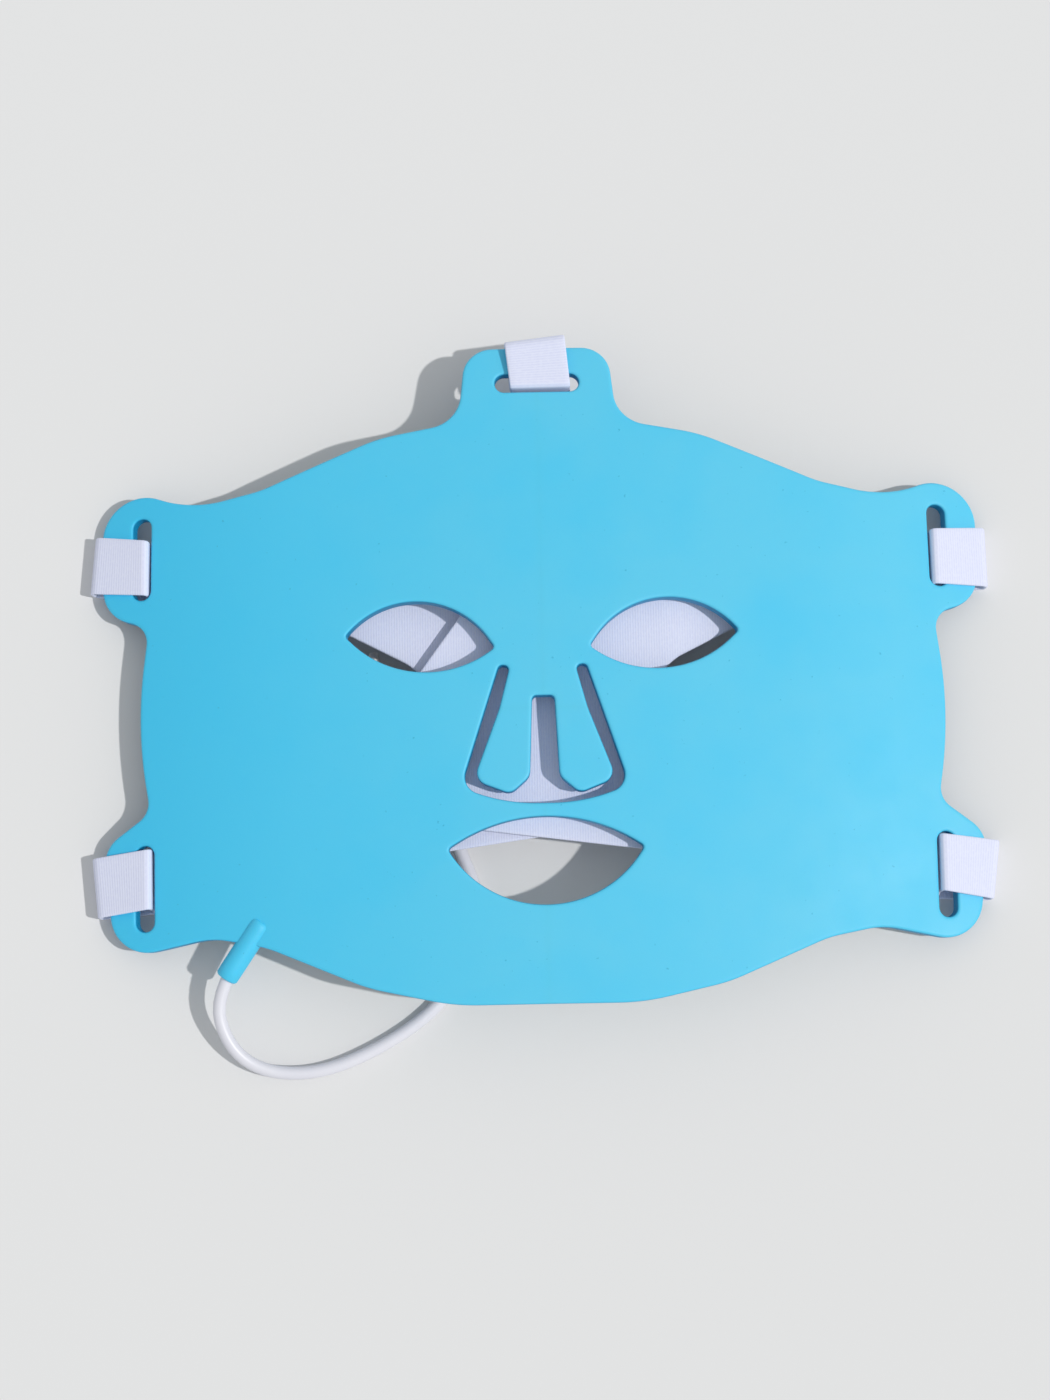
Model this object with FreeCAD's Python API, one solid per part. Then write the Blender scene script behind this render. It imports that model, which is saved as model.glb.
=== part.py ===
"""Silicone light therapy face mask with its strap harness and lead, in millimetres.

The mask lies face up. +Z is out of its front, +X is to the right of someone looking at
the front, +Y is towards the forehead, and z = 0 is the surface that it lies on. The
origin is on that surface, under the middle of the mask.
"""

import FreeCAD
import Part
import math
import os

V = FreeCAD.Vector
X_AXIS = V(1, 0, 0)
Y_AXIS = V(0, 1, 0)
Z_AXIS = V(0, 0, 1)
OVERSHOOT = 200.0          # how far cutting shapes reach past what they cut

# Sheet: curved both ways, and tighter beyond the two side seams
CROWN_Z = 30.0             # front surface at its highest
CROWN_Y = -18.5
BROW_RADIUS = 700.0        # across the face, between the seams
SIDE_RADIUS = 300.0        # across the face, beyond the seams
LENGTH_RADIUS = 1100.0     # from forehead to chin
SEAM_X = 85.0
SEAM_GAP = 0.3
SHEET_HALF_WIDTH = 165.0
SHEET_SWEEP = 18.0         # degrees
SKIN = 2.5                 # front cover, over the rear cover
SHEET = 5.0                # front and rear covers together
TAB = 4.2                  # strap tabs, which are front cover only
LIP = 1.5                  # front cover's rim round the rear cover
REAR_PLAY = 0.05
REAR_HALF_WIDTH = 131.0    # the rear cover stops short of the strap tabs
REAR_TOP_Y = 93.0
CUT_PAST = 1.0             # how far a recess is cut past the face that it opens on

# Half of the front outline, from the top tab round to the chin: x, y, corner radius
OUTLINE = [
    (25.0, 111.9, 10.4), (27.8, 84.8, 12.6), (56.2, 79.8, 60.0), (97.3, 62.7, 40.0),
    (122.2, 57.5, 40.0), (155.1, 71.1, 14.8), (153.9, 21.5, 13.0), (137.3, 15.7, 7.5),
    (141.6, -19.2, 150.0), (136.5, -49.4, 7.4), (153.5, -61.0, 10.9), (149.2, -99.9, 13.7),
    (114.8, -93.5, 30.0), (95.9, -97.4, 40.0), (61.3, -112.1, 60.0), (32.0, -118.6, 80.0),
]

# Eye: corners in its own line from the inner corner to the outer one
EYE_INNER = (16.3, 3.5)
EYE_TILT = 5.75            # degrees
EYE = [(0.0, 0.0, 1.3), (27.8, 33.5, 30.6), (51.9, 0.0, 1.3), (24.2, -21.9, 36.9)]

MOUTH = [(-33.6, -65.8, 1.4), (0.0, -45.2, 58.0), (33.6, -65.8, 1.4), (0.0, -114.6, 38.6)]

# Half of the nose opening, and one flap inside it
NOSE = [
    (3.8, -13.6, 1.6), (3.9, -17.7, 0.0), (15.1, -17.7, 0.0), (11.2, -2.9, 1.7),
    (15.0, -2.8, 1.7), (28.8, -44.9, 6.0), (12.6, -50.6, 60.0),
]
FLAP = [
    (3.9, -18.0, 0.0), (5.0, -41.5, 5.0), (11.8, -47.4, 4.0), (24.4, -42.4, 4.5),
    (15.2, -18.0, 0.0),
]
FLAP_SHEET = 4.5

# Strap slots: middle x and y
SLOT_LENGTH = 29.5
SLOT_WIDTH = 6.6
SIDE_SLOTS = {"upper": (139.9, 40.7), "lower": (138.3, -75.6)}
TOP_SLOT_Y = 98.8

# Lights
SITE_STEP_X = 21.5
SITE_STEP_Y = 17.5
SITE_TOP_Y = 77.0
SITE_ROWS = 11
SITE_COLUMNS = 6           # each side of the middle
SITE_MARGIN = 4.6          # from a site's middle to the edge of its circuit
TERMINAL_MARGIN = 10.0     # from a site's middle to the boot's top end
CIRCUIT_INSET = 2.5
CIRCUIT = 0.4
CIRCUIT_PLAY = 0.05
CHIP = (2.0, 2.4, 0.8)
CHIP_OFFSET = 1.25
WINDOW_RADIUS = 3.2
WINDOW = 1.0
WINDOW_PLAY = 0.05

# Cable boot, along the middle of the sheet at its lower left edge
BOOT_TOP = (-97.5, -88.4)
BOOT_END = (-110.6, -107.2)
BOOT_RADIUS = 4.0
SOCKET_DEPTH = 8.2         # the lead goes in 8.0
SOCKET_PLAY = 0.15
WIRE_BORE = 1.3
WIRE_RADIUS = 0.45
WIRE_OFFSET = 0.66         # from the boot's axis to the middle of a wire
WIRES = 4
TERMINAL = (6.0, 5.0, 1.5)
TERMINAL_PLAY = 0.2
TERMINAL_GAP = 1.0         # from the block to the boot

# Straps and back panels
WEBBING = 1.3
STRAP_WIDTH = 20.3
STRAP_Y = {"upper": 37.5, "lower": -73.0}
LOOP_SECTION = [(137.9, 13.5, 1.2), (157.0, 6.9, 2.6), (157.0, 0.65, 2.6), (136.9, 0.65, 0.7)]
LOOP_SHIFT = {"upper": (0.0, 0.0), "lower": (-1.5, 0.5)}    # of a loop outward, and of its top layer up
TOP_LOOP_SECTION = [(97.4, 24.7, 1.2), (114.3, 25.4, 2.6), (114.3, 16.4, 2.6), (96.6, 16.4, 0.7)]
ARM_START_X = 134.4
ARM_SPLIT_X = 92.0
ARM_SPLIT_GAP = 0.1
LEFT_BAND = [(160.0, 0.65, 0.0), (126.0, 0.65, 20.0), (80.0, 15.05, 20.0), (-110.0, 15.05, 0.0)]
RIGHT_BAND = [
    (160.0, 0.65, 0.0), (128.0, 0.65, 20.0), (90.0, 12.5, 30.0), (45.0, 20.15, 40.0), (-110.0, 20.15, 0.0),
]
TOP_STRAP_BAND = [(110.0, 21.02, 0.0), (47.0, 0.65, 20.0), (36.0, 0.65, 0.0)]
TOP_STRAP_START_Y = 95.65
TOP_STRAP_END_Y = 36.0
TOP_STRAP_CORNER = 3.0
HOOK = 0.5
HOOK_PATCH = [(-38.0, -36.0, 4.0), (-12.0, -36.0, 4.0), (-12.0, 0.0, 4.0), (-38.0, 0.0, 4.0)]
TOP_HOOK_PATCH_Y = (38.0, 60.0)
TOP_HOOK_PATCH_INSET = 1.5

# Outlines of the two back panels with their arms, drawn for the right-hand side
CROTCH = [
    (ARM_START_X, -83.15, 0.0), (ARM_START_X, -62.85, 0.0), (75.0, -52.7, 30.0), (40.0, -44.7, 12.0),
    (37.0, -4.5, 20.0), (72.0, 13.8, 25.0), (ARM_START_X, 27.35, 0.0), (ARM_START_X, 47.65, 0.0),
    (60.0, 33.5, 60.0),
]
UPPER_END = [(-19.0, 29.1, 8.0), (-54.0, -19.1, 22.0), (-26.0, -58.0, 14.0), (34.8, -66.2, 200.0)]
LOWER_END = [(-24.0, 31.0, 16.0), (-24.0, -57.0, 14.0), (33.0, -64.9, 200.0)]

# Lead: corners of its route, first out of the boot to the coil, then on to the plug
LEAD_RADIUS = 2.25
ARC_SHARE = 0.45
LEAD_ROUTE = [
    (-105.59, -100.51, 15.83), (-114.29, -113.08, 13.27), (-110.3, -129.4, 8.0), (-98.7, -138.6, 3.6),
    (-78.7, -139.3, 2.25), (-57.2, -130.5, 2.25), (-39.6, -118.8, 2.25), (-26.8, -102.1, 2.25),
    (-22.5, -81.0, 2.25), (-31.0, -60.0, 2.25), (-38.75, -36.0, 2.25), (-38.75, -15.0, 2.25),
]
TAIL_ROUTE = [
    (-10.0, -43.75, 6.75), (-19.5, -43.9, 7.6), (-31.5, -44.8, 8.6), (-45.3, -45.0, 8.6),
    (-52.7, -40.7, 6.4), (-56.73, -33.3, 4.0), (-57.2, -24.9, 4.0),
]
COIL_CENTRE = (-10.0, -15.0)
COIL_COLUMNS = 3
COIL_LAYERS = 2
COIL_MEAN_RADIUS = 24.25
PLUG_TIP = (-59.0, 7.0, 4.0)
RELIEF_LENGTH = 8.0
RELIEF_RADII = (2.7, 3.6)
GRIP_LENGTH = 14.45
GRIP_RADIUS = 4.0
GRIP_CHAMFER = 0.8
BARREL_RADIUS = 1.75
BARREL_BORE = 1.3
INSULATOR_BORE = 0.675


def save(name, shape):
    """Write one node."""
    shape.exportStep(f"parts/{name}.step")


def mirrored(half):
    """A whole outline from its right half."""
    return half + [(-x, y, radius) for x, y, radius in reversed(half)]


def flipped(points):
    """The same outline on the other side of the middle."""
    return [(-x, y, radius) for x, y, radius in points]


def rounded_edges(points, closed=True):
    """Lines and tangent arcs along (x, y, radius) corners in the XY plane."""
    count = len(points)
    corners = [V(x, y, 0) for x, y, radius in points]
    edges = []
    joins = []
    for i, here in enumerate(corners):
        radius = points[i][2]
        if radius == 0:
            joins.append((here, None, here))
            continue
        back = (corners[i - 1] - here).normalize()
        ahead = (corners[(i + 1) % count] - here).normalize()
        half = back.getAngle(ahead) / 2
        inward = (back + ahead).normalize()
        centre = here + inward * (radius / math.sin(half))
        reach = radius / math.tan(half)
        joins.append((here + back * reach, centre - inward * radius, here + ahead * reach))
    for i, (start, middle, end) in enumerate(joins):
        if middle:
            edges.append(Part.Arc(start, middle, end).toShape())
        following = joins[(i + 1) % count][0]
        if (closed or i < count - 1) and end.distanceToPoint(following) > 1e-6:
            edges.append(Part.LineSegment(end, following).toShape())
    return edges


def rounded_face(points):
    """Flat face inside a closed outline."""
    return Part.Face(Part.Wire(rounded_edges(points)))


def slot_face(x, y, length_x, length_y):
    """Flat round-ended slot."""
    radius = min(length_x, length_y) / 2 - 0.01
    a, b = length_x / 2, length_y / 2
    corners = [(x - a, y - b), (x + a, y - b), (x + a, y + b), (x - a, y + b)]
    return rounded_face([(u, v, radius) for u, v in corners])


def rectangle(low_x, high_x, low_y, high_y):
    """Flat rectangle."""
    return Part.makePlane(high_x - low_x, high_y - low_y, V(low_x, low_y, 0))


def prism(face):
    """Upright block with the plan of a flat face."""
    block = face.copy()
    block.translate(V(0, 0, -OVERSHOOT / 2))
    return block.extrude(V(0, 0, OVERSHOOT))


def side_centre():
    """Centre of the right-hand side arc, as x and z."""
    lean = math.asin(SEAM_X / BROW_RADIUS)
    x = SEAM_X - SIDE_RADIUS * math.sin(lean)
    z = CROWN_Z - BROW_RADIUS * (1 - math.cos(lean)) - SIDE_RADIUS * math.cos(lean)
    return x, z


def surface(x, y, depth):
    """Point at a depth below the front surface, under (x, y), and the outward normal."""
    centre_x, centre_z = side_centre()
    if abs(x) <= SEAM_X:
        lean = math.asin(x / BROW_RADIUS)
        profile_z = CROWN_Z - BROW_RADIUS * (1 - math.cos(lean))
    else:
        lean = math.copysign(math.asin((abs(x) - centre_x) / SIDE_RADIUS), x)
        profile_z = centre_z + SIDE_RADIUS * math.cos(lean)
    hub_z = CROWN_Z - LENGTH_RADIUS
    roll = math.asin((y - CROWN_Y) / (profile_z - hub_z))
    top = V(x, y, hub_z + (profile_z - hub_z) * math.cos(roll))
    normal = V(math.sin(lean), math.cos(lean) * math.sin(roll), math.cos(lean) * math.cos(roll))
    return top - normal * depth, normal


def profile_edges(depth):
    """The sheet's cross-section line at a depth, from left to right, in the XZ plane."""
    centre_x, centre_z = side_centre()
    seam = math.asin(SEAM_X / BROW_RADIUS)
    edge = math.asin((SHEET_HALF_WIDTH - centre_x) / SIDE_RADIUS)
    brow_z = CROWN_Z - BROW_RADIUS

    def at(hub_x, hub_z, radius, lean):
        return V(hub_x + radius * math.sin(lean), CROWN_Y, hub_z + radius * math.cos(lean))

    side = [at(centre_x, centre_z, SIDE_RADIUS - depth, a) for a in (seam, (seam + edge) / 2, edge)]
    other = [V(-p.x, p.y, p.z) for p in reversed(side)]
    brow = [other[-1], V(0, CROWN_Y, brow_z + BROW_RADIUS - depth), side[0]]
    return [Part.Arc(*points).toShape() for points in (other, brow, side)]


def slab(near, far):
    """The curved sheet between two depths below the front surface."""
    top = profile_edges(near)
    bottom = profile_edges(far)
    left = Part.LineSegment(top[0].Vertexes[0].Point, bottom[0].Vertexes[0].Point).toShape()
    right = Part.LineSegment(top[-1].Vertexes[-1].Point, bottom[-1].Vertexes[-1].Point).toShape()
    face = Part.Face(Part.Wire(Part.__sortEdges__(top + [right] + bottom + [left])))
    hub = V(0, CROWN_Y, CROWN_Z - LENGTH_RADIUS)
    face.rotate(hub, X_AXIS, -SHEET_SWEEP / 2)
    return face.revolve(hub, X_AXIS, SHEET_SWEEP)


def zone_faces(face):
    """A flat face divided at the two side seams."""
    seam = SEAM_X + SEAM_GAP / 2
    inner = SEAM_X - SEAM_GAP / 2
    spans = {"left": (-OVERSHOOT, -seam), "center": (-inner, inner), "right": (seam, OVERSHOOT)}
    zones = {}
    for zone, (low, high) in spans.items():
        zones[zone] = face.common(rectangle(low, high, -OVERSHOOT, OVERSHOOT)).Faces[0]
    return zones


def eye_face(side):
    """One eye opening: side is 1 on the right, -1 on the left."""
    points = EYE if side > 0 else flipped(EYE)
    face = rounded_face(points)
    face.rotate(V(0, 0, 0), Z_AXIS, side * EYE_TILT)
    face.translate(V(side * EYE_INNER[0], EYE_INNER[1], 0))
    return face


def openings():
    """The flat shapes of the eyes, nose and mouth."""
    return [eye_face(1), eye_face(-1), rounded_face(MOUTH), rounded_face(mirrored(NOSE))]


def strap_slots():
    """The flat shapes of the five strap slots."""
    slots = [slot_face(0, TOP_SLOT_Y, SLOT_LENGTH, SLOT_WIDTH)]
    for x, y in SIDE_SLOTS.values():
        slots.append(slot_face(x, y, SLOT_WIDTH, SLOT_LENGTH))
        slots.append(slot_face(-x, y, SLOT_WIDTH, SLOT_LENGTH))
    return slots


def light_sites(zone):
    """Middles of the lights that fit on one zone's circuit, on a staggered grid, clear of the boot."""
    sites = []
    edges = zone.Wires
    for row in range(SITE_ROWS):
        y = SITE_TOP_Y - row * SITE_STEP_Y
        for column in range(-SITE_COLUMNS, SITE_COLUMNS + 1):
            x = (column + 0.5 * (row % 2)) * SITE_STEP_X
            spot = Part.Vertex(V(x, y, 0))
            inside = zone.isInside(V(x, y, 0), 1e-4, True)
            clear = math.hypot(x - BOOT_TOP[0], y - BOOT_TOP[1]) > TERMINAL_MARGIN
            if inside and clear and min(edge.distToShape(spot)[0] for edge in edges) > SITE_MARGIN:
                sites.append((x, y))
    return sites


def placed(shape, x, y, depth):
    """A shape drawn about the origin, moved under the front surface and leant with it."""
    point, normal = surface(x, y, depth)
    lean = FreeCAD.Rotation(Z_AXIS, normal)
    shape.Placement = FreeCAD.Placement(point, lean).multiply(shape.Placement)
    return shape


def chip(x, y, offset):
    """One light chip on the circuit, its face to the rear."""
    length, width, height = CHIP
    body = Part.makeBox(length, width, height, V(offset - length / 2, -width / 2, -height))
    return placed(body, x, y, SKIN + CIRCUIT + CIRCUIT_PLAY)


def disc(x, y, radius, near, far):
    """Round plug square to the sheet, between two depths."""
    body = Part.makeCylinder(radius, far - near, V(0, 0, -(far - near)))
    return placed(body, x, y, near)


def boot_axis():
    """Ends of the boot's axis."""
    top = surface(*BOOT_TOP, SHEET / 2)[0]
    end = surface(*BOOT_END, SHEET / 2)[0]
    return top, end


def boot_block(radius, grow=0.0):
    """Cylinder along the boot, longer by a length at its top end."""
    top, end = boot_axis()
    along = (end - top).normalize()
    return Part.makeCylinder(radius, top.distanceToPoint(end) + grow, top - along * grow, along)


def terminal_block(play=0.0):
    """Solder block that joins the lead's wires to the left circuit."""
    length, width, height = (size + 2 * play for size in TERMINAL)
    body = Part.makeBox(length, width, height, V(-length / 2, -width / 2, play - height))
    top, end = boot_axis()
    along = (end - top).normalize()
    middle = top - along * (TERMINAL[1] / 2 + TERMINAL_GAP)
    turn = math.degrees(math.atan2(along.x, -along.y))
    body.rotate(V(0, 0, 0), Z_AXIS, turn)
    return placed(body, middle.x, middle.y, SKIN + CIRCUIT + CIRCUIT_PLAY)


def make_covers():
    """Front covers, rear covers, circuits, lights and windows of the three zones."""
    outline = rounded_face(mirrored(OUTLINE))
    open_face = outline.cut(Part.makeCompound(openings())).Faces[0]
    front_face = open_face.cut(Part.makeCompound(strap_slots())).Faces[0]
    middle = rectangle(-REAR_HALF_WIDTH, REAR_HALF_WIDTH, -OVERSHOOT, REAR_TOP_Y)
    pocket_face = open_face.makeOffset2D(-LIP).Faces[0].common(middle).Faces[0]
    rear_face = pocket_face.makeOffset2D(-REAR_PLAY).Faces[0]
    front_zones = zone_faces(front_face)
    rear_zones = zone_faces(rear_face)
    sheet = slab(0, SHEET)
    tab_backs = prism(front_face.cut(middle)).common(slab(TAB, SHEET + CUT_PAST))
    pocket = prism(pocket_face).common(slab(SKIN, SHEET + CUT_PAST))
    hollows = Part.makeCompound([tab_backs, pocket])
    lining = slab(SKIN + REAR_PLAY, SHEET)
    film = slab(SKIN, SKIN + CIRCUIT)
    film_space = slab(SKIN - CUT_PAST, SKIN + CIRCUIT + CIRCUIT_PLAY)
    for zone in ("left", "center", "right"):
        front = prism(front_zones[zone]).common(sheet).cut(hollows)
        circuit_face = rear_zones[zone].makeOffset2D(-CIRCUIT_INSET).Faces[0]
        recess = prism(circuit_face).common(film_space)
        circuit = prism(circuit_face).common(film)
        sites = light_sites(circuit_face)
        well = (WINDOW_RADIUS + WINDOW_PLAY, SKIN - CUT_PAST, SHEET + CUT_PAST)
        wells = [disc(x, y, *well) for x, y in sites]
        rear = prism(rear_zones[zone]).common(lining).cut(Part.makeCompound([recess] + wells))
        if zone == "left":
            front = front.cut(boot_block(BOOT_RADIUS))
            rear = rear.cut(Part.makeCompound([boot_block(BOOT_RADIUS), terminal_block(TERMINAL_PLAY)]))
            circuit = circuit.cut(boot_block(BOOT_RADIUS, CUT_PAST))
        save(f"front_cover_{zone}", front)
        save(f"rear_cover_{zone}", rear)
        save(f"flex_circuit_{zone}", circuit)
        red = [chip(x, y, CHIP_OFFSET) for x, y in sites]
        infrared = [chip(x, y, -CHIP_OFFSET) for x, y in sites]
        windows = [disc(x, y, WINDOW_RADIUS, SHEET - WINDOW, SHEET) for x, y in sites]
        save(f"red_leds_{zone}", Part.makeCompound(red))
        save(f"infrared_leds_{zone}", Part.makeCompound(infrared))
        save(f"led_windows_{zone}", Part.makeCompound(windows))
        print(zone, "light sites:", len(sites))


def make_nose_flaps():
    """Two skins and their linings, which lift as a nose pushes them out."""
    skin = slab(0, SKIN)
    lining = slab(SKIN, FLAP_SHEET)
    for side, points in (("right", FLAP), ("left", flipped(FLAP))):
        block = prism(rounded_face(points))
        save(f"nose_flap_{side}", block.common(skin))
        save(f"nose_flap_lining_{side}", block.common(lining))


def make_boot():
    """Round overmoulded exit for the lead, its solder block and four wires."""
    top, end = boot_axis()
    along = (end - top).normalize()
    socket_top = end - along * SOCKET_DEPTH
    socket = Part.makeCylinder(LEAD_RADIUS + SOCKET_PLAY, SOCKET_DEPTH, socket_top, along)
    length = top.distanceToPoint(end)
    bore = Part.makeCylinder(WIRE_BORE, length, top - along, along)
    save("cable_boot", boot_block(BOOT_RADIUS).cut(Part.makeCompound([socket, bore])))
    save("cable_terminal_block", terminal_block())
    across = along.cross(Z_AXIS).normalize()
    up = across.cross(along).normalize()
    wires = []
    for i in range(WIRES):
        swing = 2 * math.pi * (i + 0.5) / WIRES
        offset = across * (WIRE_OFFSET * math.cos(swing)) + up * (WIRE_OFFSET * math.sin(swing))
        wires.append(Part.makeCylinder(WIRE_RADIUS, length - SOCKET_DEPTH, top + offset, along))
    save("lead_wires", Part.makeCompound(wires))


def ring(section, to_space):
    """Closed band of webbing one strap wide, from its cross-section's middle line."""
    middle = Part.Wire(rounded_edges(section))
    outer = Part.Face(Part.Wire(middle.makeOffset2D(WEBBING / 2).Edges))
    inner = Part.Face(Part.Wire(middle.makeOffset2D(-WEBBING / 2).Edges))
    band = outer.cut(inner).Faces[0].extrude(V(0, 0, STRAP_WIDTH))
    band.translate(V(0, 0, -STRAP_WIDTH / 2))
    return to_space(band)


def from_side(shape, y):
    """Turn a shape drawn in x and z, and one strap deep, to lie across the mask."""
    shape.rotate(V(0, 0, 0), X_AXIS, 90)
    shape.translate(V(0, y, 0))
    return shape


def from_top(shape):
    """Turn a shape drawn in y and z, and one strap deep, to lie along the mask."""
    shape.rotate(V(0, 0, 0), X_AXIS, 90)
    shape.rotate(V(0, 0, 0), Z_AXIS, 90)
    return shape


def band_solid(line, half_depth, thickness=WEBBING, lift=0.0):
    """Thick sheet above and below an open line of (x, z, radius) corners."""
    top = [(x, z + thickness / 2 + lift, radius) for x, z, radius in line]
    bottom = [(x, z - thickness / 2 + lift, radius) for x, z, radius in line]
    over = rounded_edges(top, closed=False)
    under = rounded_edges(bottom, closed=False)
    ends = []
    for i in (0, -1):
        a = V(top[i][0], top[i][1], 0)
        b = V(bottom[i][0], bottom[i][1], 0)
        ends.append(Part.LineSegment(a, b).toShape())
    face = Part.Face(Part.Wire(Part.__sortEdges__(over + [ends[1]] + under + [ends[0]])))
    solid = face.extrude(V(0, 0, 2 * half_depth))
    solid.translate(V(0, 0, -half_depth))
    return solid


def make_loops():
    """Webbing sewn round the bar of each strap slot."""
    for place, y in STRAP_Y.items():
        out, lift = LOOP_SHIFT[place]
        top_layer = [(x + out, z + lift, radius) for x, z, radius in LOOP_SECTION[:2]]
        bottom_layer = [(x + out, z, radius) for x, z, radius in LOOP_SECTION[2:]]
        right = ring(top_layer + bottom_layer, lambda band: from_side(band, y))
        save(f"strap_loop_{place}_right", right)
        save(f"strap_loop_{place}_left", right.mirror(V(0, 0, 0), X_AXIS))
    save("strap_loop_top", ring(TOP_LOOP_SECTION, from_top))


def make_harness():
    """Two back panels with two arms each, the lower one on the left."""
    shapes = {"right": (RIGHT_BAND, UPPER_END), "left": (LEFT_BAND, LOWER_END)}
    for side, (line, free_end) in shapes.items():
        band = from_side(band_solid(line, OVERSHOOT), 0)
        whole = rounded_face(CROTCH + free_end)
        inner = rectangle(-OVERSHOOT, ARM_SPLIT_X, -OVERSHOOT, OVERSHOOT)
        outer = rectangle(ARM_SPLIT_X + ARM_SPLIT_GAP, OVERSHOOT, -OVERSHOOT, OVERSHOOT)
        pieces = {f"back_panel_{side}": prism(whole.common(inner).Faces[0]).common(band)}
        for arm in whole.common(outer).Faces:
            place = "upper" if arm.CenterOfMass.y > 0 else "lower"
            pieces[f"strap_arm_{place}_{side}"] = prism(arm).common(band)
        for name, piece in pieces.items():
            save(name, piece if side == "right" else piece.mirror(V(0, 0, 0), X_AXIS))


def make_hook_patch():
    """Hook tape under the free end of the right back panel."""
    patch = rounded_face(HOOK_PATCH)
    top = RIGHT_BAND[-1][1] - WEBBING / 2
    patch.translate(V(0, 0, top - HOOK))
    save("hook_patch", patch.extrude(V(0, 0, HOOK)))


def make_top_strap():
    """Strap from the forehead tab, folded under the mask, with hook tape at its end."""
    half = STRAP_WIDTH / 2
    strap = from_top(band_solid(TOP_STRAP_BAND, half))
    end = [(-half, TOP_STRAP_END_Y, TOP_STRAP_CORNER), (half, TOP_STRAP_END_Y, TOP_STRAP_CORNER)]
    plan = rounded_face(end + [(half, TOP_STRAP_START_Y, 0), (-half, TOP_STRAP_START_Y, 0)])
    save("top_strap", prism(plan).common(strap))
    tape = from_top(band_solid(TOP_STRAP_BAND, half - TOP_HOOK_PATCH_INSET, HOOK, (WEBBING + HOOK) / 2))
    patch = rectangle(-half, half, *TOP_HOOK_PATCH_Y)
    save("top_strap_hook_patch", prism(patch).common(tape))


def lead_tube(name, route):
    """Tube along straight runs joined by the largest tangent arcs that fit."""
    points = [V(*point) for point in route]
    edges = []
    last = points[0]
    radii = []
    for before, here, after in zip(points, points[1:], points[2:]):
        back = before - here
        ahead = after - here
        reach = ARC_SHARE * min(back.Length, ahead.Length)
        back.normalize()
        ahead.normalize()
        half_turn = (math.pi - back.getAngle(ahead)) / 2
        radius = reach / math.tan(half_turn)
        inward = (back + ahead).normalize()
        centre = here + inward * (radius / math.cos(half_turn))
        start = here + back * reach
        end = here + ahead * reach
        edges.append(Part.LineSegment(last, start).toShape())
        edges.append(Part.Arc(start, centre - inward * radius, end).toShape())
        last = end
        radii.append(round(radius, 1))
    edges.append(Part.LineSegment(last, points[-1]).toShape())
    path = Part.Wire(edges)
    section = Part.Wire(Part.makeCircle(LEAD_RADIUS, points[0], points[1] - points[0]))
    tube = path.makePipeShell([section], True, False)
    share = tube.Volume / (math.pi * LEAD_RADIUS ** 2 * path.Length)
    print(name, "length", round(path.Length, 1), "arc radii", radii, "volume share", round(share, 4))
    save(name, tube)


def make_coil():
    """Outer shape of the coiled part of the lead."""
    half_width = COIL_COLUMNS * LEAD_RADIUS
    height = COIL_LAYERS * 2 * LEAD_RADIUS
    base = V(*COIL_CENTRE, 0)
    outer = Part.makeCylinder(COIL_MEAN_RADIUS + half_width, height, base)
    inner = Part.makeCylinder(COIL_MEAN_RADIUS - half_width, height, base)
    save("cable_coil", outer.cut(inner))


def make_plug():
    """Moulded grip with a small coaxial barrel."""
    start = V(*TAIL_ROUTE[-1])
    tip = V(*PLUG_TIP)
    along = (tip - start).normalize()
    relief = Part.makeCone(*RELIEF_RADII, RELIEF_LENGTH, start, along)
    grip_start = start + along * RELIEF_LENGTH
    grip = Part.makeCylinder(GRIP_RADIUS, GRIP_LENGTH, grip_start, along)
    rims = [e for e in grip.Edges if e.Curve.TypeId == "Part::GeomCircle"]
    grip = grip.makeChamfer(GRIP_CHAMFER, rims)
    barrel_start = grip_start + along * GRIP_LENGTH
    length = barrel_start.distanceToPoint(tip)
    barrel = Part.makeCylinder(BARREL_RADIUS, length, barrel_start, along)
    core = Part.makeCylinder(BARREL_BORE, length, barrel_start, along)
    hole = Part.makeCylinder(INSULATOR_BORE, length, barrel_start, along)
    save("plug_strain_relief", relief)
    save("plug_grip", grip)
    save("plug_barrel", barrel.cut(core))
    save("plug_insulator", core.cut(hole))
    print("plug barrel from", barrel_start, "along", along, "length", round(length, 2))


os.makedirs("parts", exist_ok=True)
make_covers()
make_nose_flaps()
make_boot()
make_loops()
make_harness()
make_hook_patch()
make_top_strap()
lead_tube("cable", LEAD_ROUTE)
lead_tube("cable_tail", TAIL_ROUTE)
make_coil()
make_plug()
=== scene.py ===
import math

import bmesh
import bpy
import numpy as np
from mathutils import Matrix, Vector, geometry, kdtree


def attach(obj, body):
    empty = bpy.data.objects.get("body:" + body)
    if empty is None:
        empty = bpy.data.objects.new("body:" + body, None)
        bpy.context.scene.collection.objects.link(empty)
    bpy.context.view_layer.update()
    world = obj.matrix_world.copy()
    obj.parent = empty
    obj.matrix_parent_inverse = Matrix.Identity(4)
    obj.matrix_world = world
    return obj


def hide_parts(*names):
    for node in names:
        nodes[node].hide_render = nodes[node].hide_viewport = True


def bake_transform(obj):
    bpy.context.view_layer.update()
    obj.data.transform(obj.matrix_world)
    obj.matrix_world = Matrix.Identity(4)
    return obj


# Silicone light therapy face mask with its webbing harness and lead, lying face up on a pale floor.
# Driving sizes are in millimetres and degrees, in the frame's own axes. Everything built is in metres.

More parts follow.
